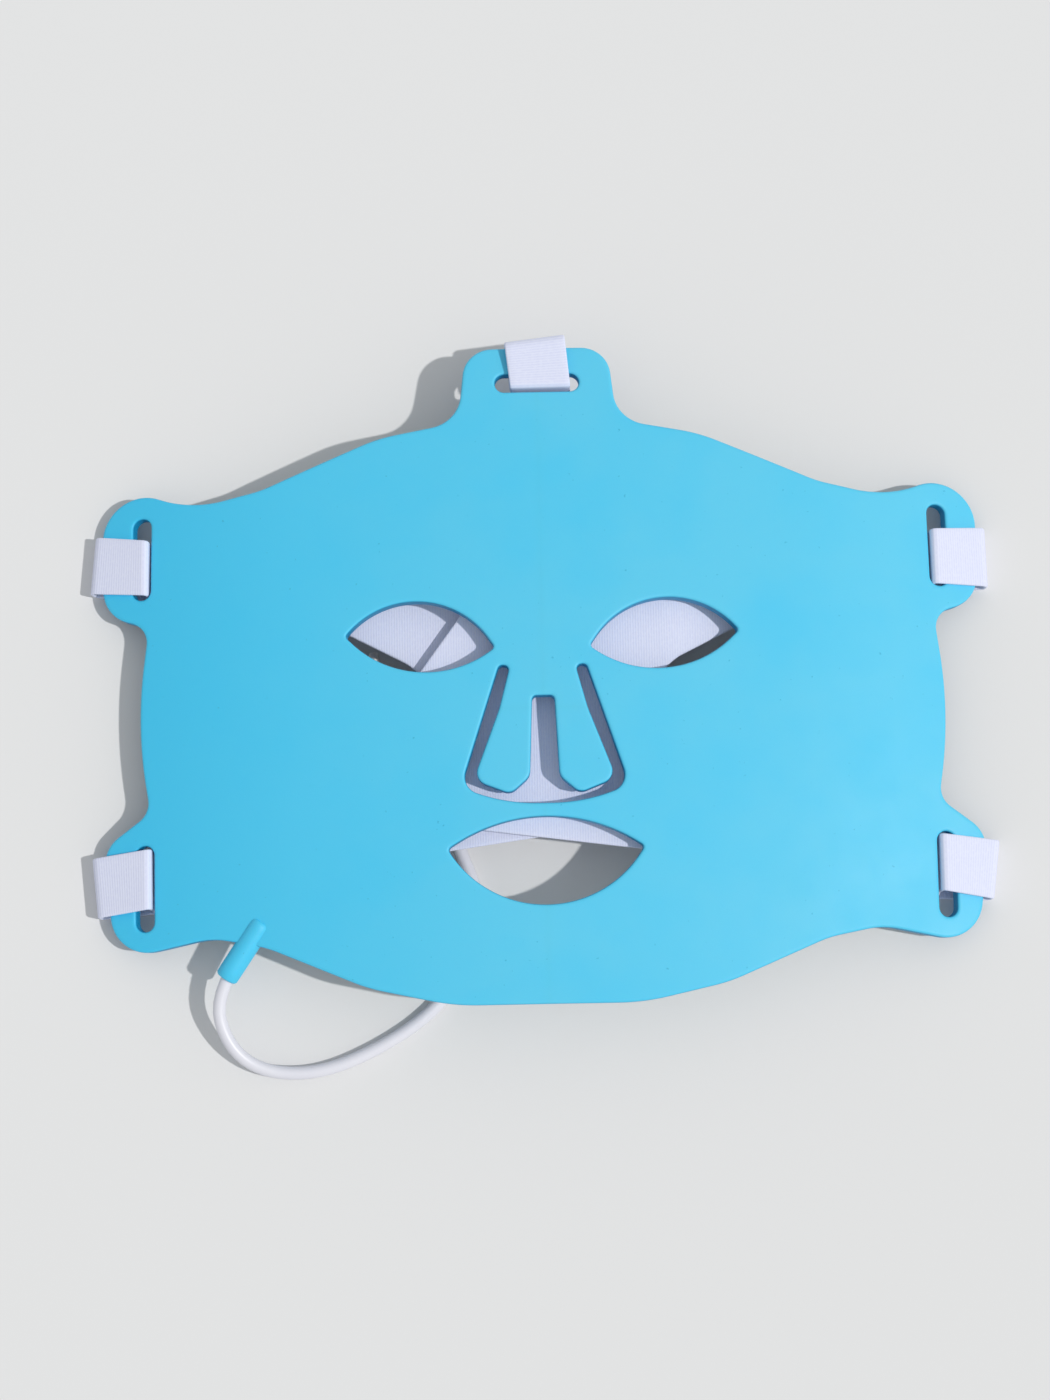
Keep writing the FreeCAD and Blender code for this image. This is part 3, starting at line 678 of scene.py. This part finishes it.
def webbing(name, colour, dark, pitch):
    """Ribbed elastic webbing: ribs across its length and fine yarns along it, with painted shade darkening
    the grooves between them.
    """
    made, tree, shader = material(name, colour, 0.85)
    uv = node(tree, "ShaderNodeUVMap", uv_map="weave")
    ribs = node(tree, "ShaderNodeTexWave", wave_type="BANDS", bands_direction="X", Scale=1.0)
    ribs.inputs["Distortion"].default_value = 1.2
    ribs.inputs["Detail"].default_value = 2.0
    ribs.inputs["Detail Scale"].default_value = 2.5
    stretch = node(tree, "ShaderNodeMapping")
    stretch.inputs["Scale"].default_value = (0.314 / pitch, 0.314 / pitch, 1.0)
    tree.links.new(uv.outputs["UV"], stretch.inputs["Vector"])
    tree.links.new(stretch.outputs["Vector"], ribs.inputs["Vector"])
    yarn = node(tree, "ShaderNodeTexWave", wave_type="BANDS", bands_direction="Y", Scale=2.2)
    tree.links.new(stretch.outputs["Vector"], yarn.inputs["Vector"])
    height = node(tree, "ShaderNodeMath", operation="ADD")
    tree.links.new(ribs.outputs["Fac"], height.inputs[0])
    half = node(tree, "ShaderNodeMath", operation="MULTIPLY")
    half.inputs[1].default_value = 0.45
    tree.links.new(yarn.outputs["Fac"], half.inputs[0])
    tree.links.new(half.outputs[0], height.inputs[1])
    fuzz = noise(tree, 900.0, 3.0)
    # Painted shade: the low places between the ribs and yarns take the dark colour.
    painted_groove_shade = mixed(tree, ramp(tree, height.outputs[0], 0.0, 1.3), dark, colour)
    tree.links.new(mixed(tree, ramp(tree, fuzz, 0.42, 0.75), painted_groove_shade, colour), shader.inputs["Base Color"])
    bump(tree, shader, height.outputs[0], 0.3, 0.0002)
    shader.inputs["Sheen Weight"].default_value = 0.25
    shader.inputs["Sheen Roughness"].default_value = 0.5
    shader.inputs["Specular IOR Level"].default_value = 0.25
    return made


# Its second colour is the painted shade in the grooves.
WEBBING_WHITE = webbing("white_webbing", (0.78, 0.81, 0.98), (0.70, 0.73, 0.94), 0.0009)


def plain(name, colour, shade, roughness, scale=300.0, grain=0.05, metallic=0.0):
    """Moulded or extruded finish with a little variation in colour and a fine grain."""
    made, tree, shader = material(name, colour, roughness)
    tree.links.new(mixed(tree, noise(tree, scale), colour, shade), shader.inputs["Base Color"])
    bump(tree, shader, noise(tree, scale * 6), grain, 0.0001)
    shader.inputs["Metallic"].default_value = metallic
    return made


SHEATH = plain("white_cable", (0.80, 0.80, 0.86), (0.74, 0.74, 0.82), 0.38, 120.0)
DARK = plain("dark_plastic", (0.04, 0.04, 0.045), (0.06, 0.06, 0.065), 0.5)
METAL = plain("plated_metal", (0.86, 0.85, 0.83), (0.78, 0.77, 0.75), 0.4, 500.0, 0.02, 0.85)
FILM = plain("circuit_film", (0.86, 0.84, 0.74), (0.80, 0.78, 0.68), 0.4)
RED = plain("red_led", (0.80, 0.16, 0.10), (0.66, 0.10, 0.07), 0.25)
INFRARED = plain("infrared_led", (0.16, 0.07, 0.10), (0.10, 0.04, 0.06), 0.2)
WIRE = plain("wire_insulation", (0.62, 0.05, 0.04), (0.54, 0.04, 0.03), 0.4)
TAPE = plain("hook_tape", (0.80, 0.80, 0.84), (0.62, 0.62, 0.68), 0.9, 2200.0, 0.6)


def window_material():
    """Clear silicone over the lights."""
    made, tree, shader = material("clear_window", (0.93, 0.96, 0.97), 0.15)
    tree.links.new(mixed(tree, noise(tree, 200.0), (0.93, 0.96, 0.97), (0.88, 0.93, 0.95)),
                   shader.inputs["Base Color"])
    shader.inputs["Transmission Weight"].default_value = 0.9
    shader.inputs["IOR"].default_value = 1.41
    return made


CLEAR = window_material()


# ---------------------------------------------------------------- skins

def islands(name):
    """Middles of the separate solids of a frame node, in millimetres."""
    bm = bmesh.new()
    bm.from_mesh(nodes[name].data)
    bmesh.ops.remove_doubles(bm, verts=bm.verts[:], dist=1e-6)
    waiting = set(bm.verts)
    found = []
    while waiting:
        group = [waiting.pop()]
        for vert in group:
            for edge in vert.link_edges:
                other = edge.other_vert(vert)
                if other in waiting:
                    waiting.remove(other)
                    group.append(other)
        co = np.array([v.co[:] for v in group]) / MM
        found.append((co.min(0) + co.max(0)) / 2)
    bm.free()
    return found


def flat_site(middle, depth):
    """Where a point at a depth in the curved sheet is on the flat one."""
    site = np.array(middle[:2])
    for _ in range(4):
        now = bent([[site[0], site[1], depth]])[0]
        site += middle[:2] - now[:2]
    return site


def lens(shell, site):
    """One clear window, slightly domed, on the flat sheet."""
    rings = [(0.0, SHEET - 1.0), (WINDOW_RADIUS - 0.1, SHEET - 1.0), (WINDOW_RADIUS, SHEET - 0.9),
             (WINDOW_RADIUS, SHEET - 0.25), (WINDOW_RADIUS - 0.12, SHEET - 0.05),
             (2.3, SHEET + 0.5 * WINDOW_DOME), (1.1, SHEET + 0.9 * WINDOW_DOME), (0.0, SHEET + WINDOW_DOME)]
    turn = np.linspace(0, 2 * math.pi, 20, endpoint=False)
    spokes = np.stack([np.cos(turn), np.sin(turn)], 1)
    starts = []
    for radius, depth in rings:
        if radius == 0:
            starts.append(shell.add(np.array([site]), depth))
        else:
            starts.append(shell.add(spokes * radius + site, depth))
    count = len(turn)
    for i in range(count):
        j = (i + 1) % count
        shell.faces.append((starts[0], starts[1] + i, starts[1] + j))
        shell.faces.append((starts[-1], starts[-2] + j, starts[-2] + i))
    for a, b in zip(starts[1:-2], starts[2:-1]):
        shell.wall(a, b, count)


def make_skins():
    """Front and rear skins with the nose flaps, and the clear windows."""
    sites = {zone: [flat_site(m, SHEET - 0.5) for m in islands(f"led_windows_{zone}")]
             for zone in ("left", "center", "right")}
    front = sheet_pieces(front_shell(), "front_skin", "nose_flap_skin", BLUE)
    rear = sheet_pieces(rear_shell(sum(sites.values(), [])), "rear_skin", "nose_flap_back", MILKY)
    for side, sign in (("left", -1), ("right", 1)):
        layers = ((front[side], "front_cover", "nose_flap", "blue_silicone"),
                  (rear[side], "rear_cover", "nose_flap_lining", "milky_silicone"))
        for (skin, flap), cover, flap_node, slot in layers:
            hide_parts(f"{cover}_{side}", f"{cover}_center")
            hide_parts(f"{flap_node}_{side}")
            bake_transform(skin)
            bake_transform(flap)
        shell = Shell()
        middle = [site for site in sites["center"] if site[0] * sign > 0 or (site[0] == 0 and sign > 0)]
        for site in sites[side] + middle:
            lens(shell, site)
        mesh = mesh_from(f"windows_{side}", bent(shell.array()) * MM, shell.faces)
        windows = piece_from(f"light_windows_{side}", mesh, CLEAR)
        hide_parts(f"led_windows_{side}", "led_windows_center")
        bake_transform(windows)


make_skins()


# ---------------------------------------------------------------- straps and back panels

def weave_uv(mesh, values):
    """Stores, for every corner, its place on the flat webbing, in metres."""
    layer = mesh.uv_layers.new(name="weave")
    order = np.empty(len(mesh.loops), int)
    mesh.loops.foreach_get("vertex_index", order)
    layer.data.foreach_set("uv", (np.asarray(values)[order] * MM).ravel())


def outward(mesh):
    """Turns a closed mesh's faces outward."""
    bm = bmesh.new()
    bm.from_mesh(mesh)
    bmesh.ops.recalc_face_normals(bm, faces=bm.faces[:])
    bm.to_mesh(mesh)
    bm.free()


def loop_mesh(name, section, corners, under, turned):
    """A sewn loop: a closed strip round its section, whose top layer has the given corners.

    corners are (out, across) for the fold's high end, the bar's high end, and the same two at the low
    end. under is the strap's low and high edge below. turned swaps out and across to lie along the mask.
    """
    line = corner_loop(section, step=0.7)
    tangent = np.roll(line, -1, 0) - np.roll(line, 1, 0)
    tangent /= np.linalg.norm(tangent, axis=1)[:, None]
    if signed_area(line) < 0:
        tangent = -tangent
    normal = np.stack([tangent[:, 1], -tangent[:, 0]], 1)
    run = np.concatenate([[0.0], np.cumsum(np.linalg.norm(np.diff(line, axis=0), axis=1))])
    fold_high, bar_high, fold_low, bar_low = corners
    fold, bar = (fold_high[0] + fold_low[0]) / 2, (bar_high[0] + bar_low[0]) / 2
    share = np.clip((line[:, 0] - bar) / (fold - bar), 0, 1)
    rise = np.clip((line[:, 1] - LOOP_RISE[0]) / LOOP_RISE[1], 0, 1)
    high = bar_high[1] + (fold_high[1] - bar_high[1]) * share
    low = bar_low[1] + (fold_low[1] - bar_low[1]) * share
    high = high * rise + (under[1] + (fold_high[1] - under[1]) * share) * (1 - rise)
    low = low * rise + (under[0] + (fold_low[1] - under[0]) * share) * (1 - rise)
    lean = (fold_high[0] - fold_low[0]) / (fold_high[1] - fold_low[1])
    half = WEBBING / 2
    turn = np.linspace(0.0, math.pi, 7)
    inner = np.linspace(-1, 1, 9)[1:-1]
    ring = [(share_across, 0.0, half) for share_across in inner]
    ring += [(1.0, half * (1 - math.sin(a)), half * math.cos(a)) for a in turn]
    ring += [(share_across, 0.0, -half) for share_across in inner[::-1]]
    ring += [(-1.0, half * (1 - math.sin(a)), -half * math.cos(a)) for a in turn]
    side, off, height = np.array(ring).T
    middle, width = (high + low) / 2, (high - low) / 2
    across = middle[:, None] + side * (width[:, None] - off)
    out = line[:, :1] + normal[:, :1] * height + (across - middle[:, None]) * lean * share[:, None]
    z = line[:, 1:] + normal[:, 1:] * height
    points = np.stack([across, out, z] if turned else [out, across, z], 2).reshape(-1, 3)
    count, size = across.shape
    faces = [(i * size + k, i * size + (k + 1) % size, (i + 1) % count * size + (k + 1) % size,
              (i + 1) % count * size + k) for i in range(count) for k in range(size)]
    mesh = mesh_from(name, points * MM, faces)
    weave_uv(mesh, np.stack([np.repeat(run[:, None], size, 1), across], 2).reshape(-1, 2))
    outward(mesh)
    return mesh, run[-1]


def make_loops():
    """The five sewn loops."""
    half = STRAP_WIDTH / 2
    for (place, side), corners in LOOP_CORNERS.items():
        if place == "top":
            name, body, bar = "strap_loop_top", "center", "front_skin_left"
            mesh, length = loop_mesh(name, TOP_LOOP_SECTION, corners, (-half, half), True)
        else:
            name, body, bar = f"strap_loop_{place}_{side}", f"{side}_wing", f"front_skin_{side}"
            out, lift = LOOP_SHIFT[place]
            section = [(x + out, z + lift, radius) for x, z, radius in LOOP_SECTION[:2]]
            section += [(x + out, z, radius) for x, z, radius in LOOP_SECTION[2:]]
            under = (STRAP_Y[place] - half, STRAP_Y[place] + half)
            mesh, length = loop_mesh(name, section, corners, under, False)
        if side == "left":
            mesh.transform(Matrix.Diagonal((-1, 1, 1, 1)))
            mesh.flip_normals()
        piece = piece_from(f"webbing_{name}", mesh, WEBBING_WHITE)
        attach(piece, body)
        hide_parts(name)


def band_height(corners, values):
    """Height of an open line of (along, height, radius) corners at each of some places."""
    line = corner_loop(corners, closed=False, step=1.0)
    line = line[np.argsort(line[:, 0])]
    return np.interp(values, line[:, 0], line[:, 1])


def webbing_sheet(name, outline, band, axis, sign=1, step=FILL_STEP):
    """Thin closed sheet with rounded rims: a flat outline laid on a bent line along x (0) or y (1).

    Returns its mesh, the size of its outline, and its flat area.
    """
    shell = Shell()
    rounded = [(x, y, max(radius, LEAST_CORNER)) for x, y, radius in outline]
    loop = outer(corner_loop(rounded, step=1.6))
    rim = WEBBING / 2
    fill_start = rim + CUT_FILL_START
    turn = np.linspace(0, math.pi, 7)
    profile = [(fill_start, -rim)] + [(rim * (1 - math.sin(a)), -rim * math.cos(a)) for a in turn]
    profile.append((fill_start, rim))
    first, last = shell.rows(loop, profile)
    inner = inset(loop, fill_start)
    shell.cap([inner], [first], -rim, False, step)
    shell.cap([inner], [last], rim, True, step)
    flat = shell.array()
    points = flat.copy()
    points[:, 2] = band_height(band, flat[:, axis]) - flat[:, 2]
    if sign < 0:
        points[:, 0] *= -1
    mesh = mesh_from(name, points * MM, shell.faces)
    weave_uv(mesh, flat[:, [0, 1]] if axis == 0 else flat[:, [1, 0]])
    outward(mesh)
    area = abs(signed_area(loop)) * MM * MM
    size = (loop.max(0) - loop.min(0)) * MM
    return mesh, size, area


def make_harness():
    """Two back panels with two arms each. The hook tape under the right one stays a node of the frame."""
    reach = ARM_START_X + ARM_REACH
    crotch = [(reach if x == ARM_START_X else x, y, radius) for x, y, radius in CROTCH]
    sides = (("right", 1, RIGHT_BAND, UPPER_END), ("left", -1, LEFT_BAND, LOWER_END))
    for side, sign, band, end in sides:
        mesh, size, area = webbing_sheet(f"harness_{side}", crotch + end, band, 0, sign)
        piece = piece_from(f"back_webbing_{side}", mesh, WEBBING_WHITE)
        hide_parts(f"back_panel_{side}", f"strap_arm_upper_{side}", f"strap_arm_lower_{side}")
        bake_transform(piece)


def make_top_strap():
    """Strap from the forehead tab, folded under the mask."""
    half = STRAP_WIDTH / 2
    reach = TOP_STRAP_START_Y + ARM_REACH
    outline = [(-half, TOP_STRAP_END_Y, TOP_STRAP_CORNER), (half, TOP_STRAP_END_Y, TOP_STRAP_CORNER),
               (half, reach, 0.0), (-half, reach, 0.0)]
    mesh, size, _ = webbing_sheet("top_strap_sheet", outline, TOP_STRAP_BAND, 1, step=2.4)
    piece = piece_from("webbing_top_strap", mesh, WEBBING_WHITE)
    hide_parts("top_strap")
    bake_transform(piece)


make_loops()
make_harness()
make_top_strap()


# ---------------------------------------------------------------- boot, lead and plug

def ring_points(centre, along, radius, sink=0.0, count=28):
    """A circle square to a direction, sunk by a distance."""
    across = along.cross(Vector((0, 0, 1))).normalized()
    up = across.cross(along).normalized()
    points = []
    for k in range(count):
        a = 2 * math.pi * k / count
        points.append(centre + across * (radius * math.cos(a)) + up * (radius * math.sin(a) - sink))
    return points


def turned_mesh(name, rings):
    """Closed mesh through rings of points, with its first and last ring capped."""
    count = len(rings[0])
    points = [p for ring in rings for p in ring]
    faces = []
    for i in range(len(rings) - 1):
        for k in range(count):
            m = (k + 1) % count
            faces.append((i * count + k, i * count + m, (i + 1) * count + m, (i + 1) * count + k))
    faces += [tuple(range(count))[::-1], tuple(len(points) - count + k for k in range(count))]
    mesh = mesh_from(name, points, faces)
    outward(mesh)
    return mesh


def make_boot():
    """Overmoulded exit for the lead: round where it is free, and sinking into the sheet above."""
    top = Vector(bent([[*BOOT_TOP, SHEET / 2]])[0])
    end = Vector(bent([[*BOOT_END, SHEET / 2]])[0])
    along = (end - top).normalized()
    span = (end - top).length
    profile = [(-4.0, 2.35, 0.0), (-0.15, 2.35, 0.0), (0.0, 2.5, 0.0), (0.0, 3.3, 0.0), (-0.25, 3.6, 0.0),
               (-0.8, 3.95, 0.0), (-4.0, BOOT_RADIUS, 0.0), (-8.0, BOOT_RADIUS, 0.0),
               (3.0 - span, BOOT_RADIUS, 0.0), (1.4 - span, 3.9, 0.0), (0.4 - span, 3.55, 0.0),
               (0.0 - span, 3.1, 0.1)]
    rings = [[p * MM for p in ring_points(end + along * place, along, radius, sink)]
             for place, radius, sink in profile]
    piece = piece_from("boot", turned_mesh("boot", rings), BLUE)
    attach(piece, "left_wing")
    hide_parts("cable_boot")


def lead_points():
    """Control points of the whole lead, from the boot round the coil to the plug, in metres."""
    points = [Vector(p) for p in LEAD_ROUTE]
    centre = Vector((*COIL_CENTRE, 0.0))
    inward = np.repeat(COIL_RADII, 2)
    for turns, radii, climb in ((COIL_TURNS[0], inward, 0.0), (COIL_TURNS[1], inward[::-1], 2.0)):
        for k in range(int(turns * COIL_POINTS)):
            turn = k / COIL_POINTS
            radius = float(np.interp(turn, [0.0, 0.8, 1.2, 1.8, 2.2, turns], radii))
            a = math.pi - 2 * math.pi * turn
            rise = LEAD_RADIUS * (1.0 + climb * min(1.0, turn / COIL_RISE))
            points.append(centre + Vector((radius * math.cos(a), radius * math.sin(a), rise)))
    points += [Vector(p) for p in TAIL_ROUTE]
    return [p * MM for p in points]


def smooth_line(points):
    """Points along the NURBS curve with these control points."""
    curve = bpy.data.curves.new("lead_line", "CURVE")
    curve.dimensions = "3D"
    spline = curve.splines.new("NURBS")
    spline.points.add(len(points) - 1)
    for target, point in zip(spline.points, points):
        target.co = (*point, 1.0)
    spline.order_u = 3
    spline.use_endpoint_u = True
    spline.resolution_u = 6
    holder = bpy.data.objects.new("lead_line", curve)
    bpy.context.scene.collection.objects.link(holder)
    mesh = bpy.data.meshes.new_from_object(holder)
    line = [v.co.copy() for v in mesh.vertices]
    bpy.data.objects.remove(holder)
    bpy.data.meshes.remove(mesh)
    return line


def tube_rings(line, radius, count=14):
    """Rings of points along a line, which don't twist."""
    rings = []
    up = Vector((0, 0, 1))
    for i, here in enumerate(line):
        ahead = (line[min(i + 1, len(line) - 1)] - line[max(i - 1, 0)]).normalized()
        across = ahead.cross(up).normalized()
        up = across.cross(ahead).normalized()
        rings.append([here + (across * math.cos(2 * math.pi * k / count)
                              + up * math.sin(2 * math.pi * k / count)) * radius for k in range(count)])
    return rings


def make_lead():
    """The lead, its strain relief and its plug."""
    line = smooth_line(lead_points())
    lead = piece_from("lead", turned_mesh("lead", tube_rings(line, LEAD_RADIUS * MM)), SHEATH)
    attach(lead, "left_harness")
    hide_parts("cable", "cable_coil", "cable_tail")
    start, tip = Vector(TAIL_ROUTE[-1]), Vector(PLUG_TIP)
    along = (tip - start).normalized()
    bends = [(0.0, 2.3), (0.0, 2.7)]
    for k in range(4):
        place = 0.9 + 1.75 * k
        wide = 2.75 + 0.22 * k
        bends += [(place, wide), (place + 0.12, wide - 0.4)]
        bends += [(place + 0.75, wide - 0.4), (place + 0.87, wide + 0.1)]
    bends += [(7.8, 3.55), (8.0, 3.5)]
    grip = [(8.0, 3.0), (8.0, 3.5), (8.35, 3.85), (9.0, 4.0), (13.0, 3.85), (17.5, 3.85), (21.6, 4.0),
            (22.2, 3.8), (22.45, 3.3), (22.45, 1.8)]
    barrel = [(22.5, 1.32), (22.5, 1.75), (31.65, 1.75), (31.95, 1.55), (31.9, 1.32), (23.0, 1.32)]
    core = [(22.5, 0.68), (22.5, 1.29), (31.0, 1.29), (31.0, 0.68), (24.5, 0.68)]
    for name, profile, finish, node_name, slot_name in (
            ("strain_relief", bends, SHEATH, "plug_strain_relief", "white_cable"),
            ("plug_body", grip, SHEATH, "plug_grip", "white_cable"),
            ("plug_tube", barrel, METAL, "plug_barrel", "plated_metal"),
            ("plug_core", core, DARK, "plug_insulator", "dark_plastic")):
        rings = [[p * MM for p in ring_points(start + along * place, along, radius)]
                 for place, radius in profile]
        piece = piece_from(name, turned_mesh(name, rings), finish)
        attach(piece, "left_harness")
        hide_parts(node_name)


make_boot()
make_lead()


# ---------------------------------------------------------------- finishes of the parts that stay as they are

def finish_cad(name, finish):
    """Gives a CAD node its finish."""
    shown = nodes[name]
    if shown.data.materials:
        for place in shown.material_slots:
            place.link = "OBJECT"
            place.material = finish
    else:
        shown.data.materials.append(finish)


for zone in ("left", "center", "right"):
    finish_cad(f"flex_circuit_{zone}", FILM)
    finish_cad(f"red_leds_{zone}", RED)
    finish_cad(f"infrared_leds_{zone}", INFRARED)
finish_cad("cable_terminal_block", DARK)
finish_cad("lead_wires", WIRE)
finish_cad("hook_patch", TAPE)
finish_cad("top_strap_hook_patch", TAPE)


# ---------------------------------------------------------------- floor, lights and camera

FLOOR_GAP = 0.2            # keeps the floor clear of the webbing that lies on it


def make_floor():
    """Plain pale floor."""
    corners = [(x, y, -FLOOR_GAP * MM) for x, y in ((-2, -2), (2, -2), (2, 2), (-2, 2))]
    mesh = mesh_from("floor", corners, [(0, 1, 2, 3)])
    made, tree, shader = material("floor", (0.80, 0.80, 0.80), 0.9)
    tree.links.new(mixed(tree, noise(tree, 1.5), (0.80, 0.80, 0.805), (0.785, 0.785, 0.79)),
                   shader.inputs["Base Color"])
    shader.inputs["Specular IOR Level"].default_value = 0.1
    piece_from("floor", mesh, made)


SUN_ELEVATION = 52.7
SUN_BEARING = -14.7         # degrees from +X towards +Y
SUN_SOFTNESS = 1.6
SUN_STRENGTH = 1.85
SKY_STRENGTH = 0.52


def make_lights():
    """A sun from the right and a pale sky."""
    sun = bpy.data.lights.new("sun", "SUN")
    sun.energy = SUN_STRENGTH
    sun.angle = math.radians(SUN_SOFTNESS)
    sun.color = (1.0, 0.985, 0.96)
    lamp = bpy.data.objects.new("sun", sun)
    rise, bearing = math.radians(SUN_ELEVATION), math.radians(SUN_BEARING)
    towards = Vector((math.cos(rise) * math.cos(bearing), math.cos(rise) * math.sin(bearing), math.sin(rise)))
    lamp.rotation_euler = towards.to_track_quat("Z", "Y").to_euler()
    bpy.context.scene.collection.objects.link(lamp)
    world = bpy.data.worlds.new("sky")
    world.use_nodes = True
    world.node_tree.nodes["Background"].inputs["Color"].default_value = (0.955, 0.985, 1.0, 1)
    world.node_tree.nodes["Background"].inputs["Strength"].default_value = SKY_STRENGTH
    bpy.context.scene.world = world


CAMERA_TARGET = (-6.22, -13.49, 20.0)
CAMERA_DISTANCE = 1000.0
CAMERA_TILT = 10.0         # from straight down, towards -Y
CAMERA_ROLL = -1.107
VIEW_HEIGHT = 483.0        # at the target


def make_camera():
    """Nearly straight down, from a little below the chin."""
    data = bpy.data.cameras.new("camera")
    data.sensor_fit = "VERTICAL"
    data.angle = 2 * math.atan(VIEW_HEIGHT / 2 / CAMERA_DISTANCE)
    camera = bpy.data.objects.new("camera", data)
    tilt, roll = math.radians(CAMERA_TILT), math.radians(CAMERA_ROLL)
    turn = Matrix.Rotation(roll, 4, "Z") @ Matrix.Rotation(tilt, 4, "X")
    target = Vector(CAMERA_TARGET) * MM
    camera.matrix_world = Matrix.Translation(target) @ turn @ Matrix.Translation((0, 0, CAMERA_DISTANCE * MM))
    bpy.context.scene.collection.objects.link(camera)
    bpy.context.scene.camera = camera


make_floor()
make_lights()
make_camera()
bpy.context.scene.view_settings.view_transform = "Standard"
